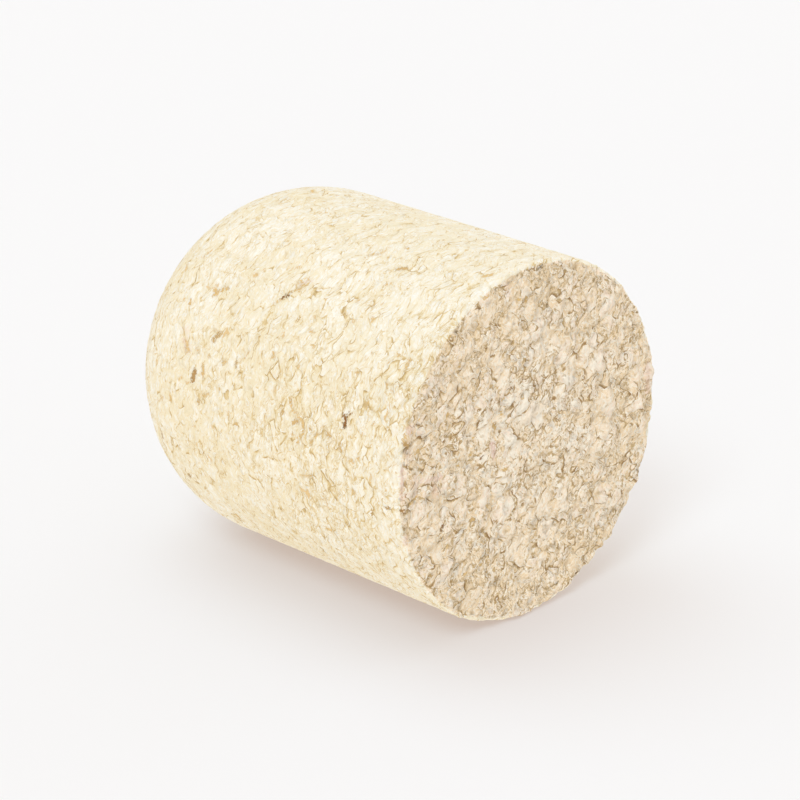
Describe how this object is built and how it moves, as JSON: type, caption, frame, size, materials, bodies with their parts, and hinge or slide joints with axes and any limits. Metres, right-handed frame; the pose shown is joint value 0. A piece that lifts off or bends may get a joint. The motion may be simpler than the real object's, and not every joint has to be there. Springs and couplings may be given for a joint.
{
  "type": "cork stopper",
  "caption": "Straight bottle stopper of agglomerated cork, with a rounded head at one end and a flat cut face at the other.",
  "frame": {"origin": "centre of the flat cut end, which the stopper stands on", "axes": "+Z runs along the stopper's own axis, from the flat end to the rounded head; X and Y are any two directions across it, because the form is round"},
  "size_m": [0.022, 0.022, 0.027],
  "materials": {
    "cork": "raw pale agglomerated cork: granules pressed flat and smooth on the side and head, open and crumbly on the cut end, with no coating"
  },
  "bodies": {
    "root": {"stopper": "cork"}
  },
  "joints": []
}
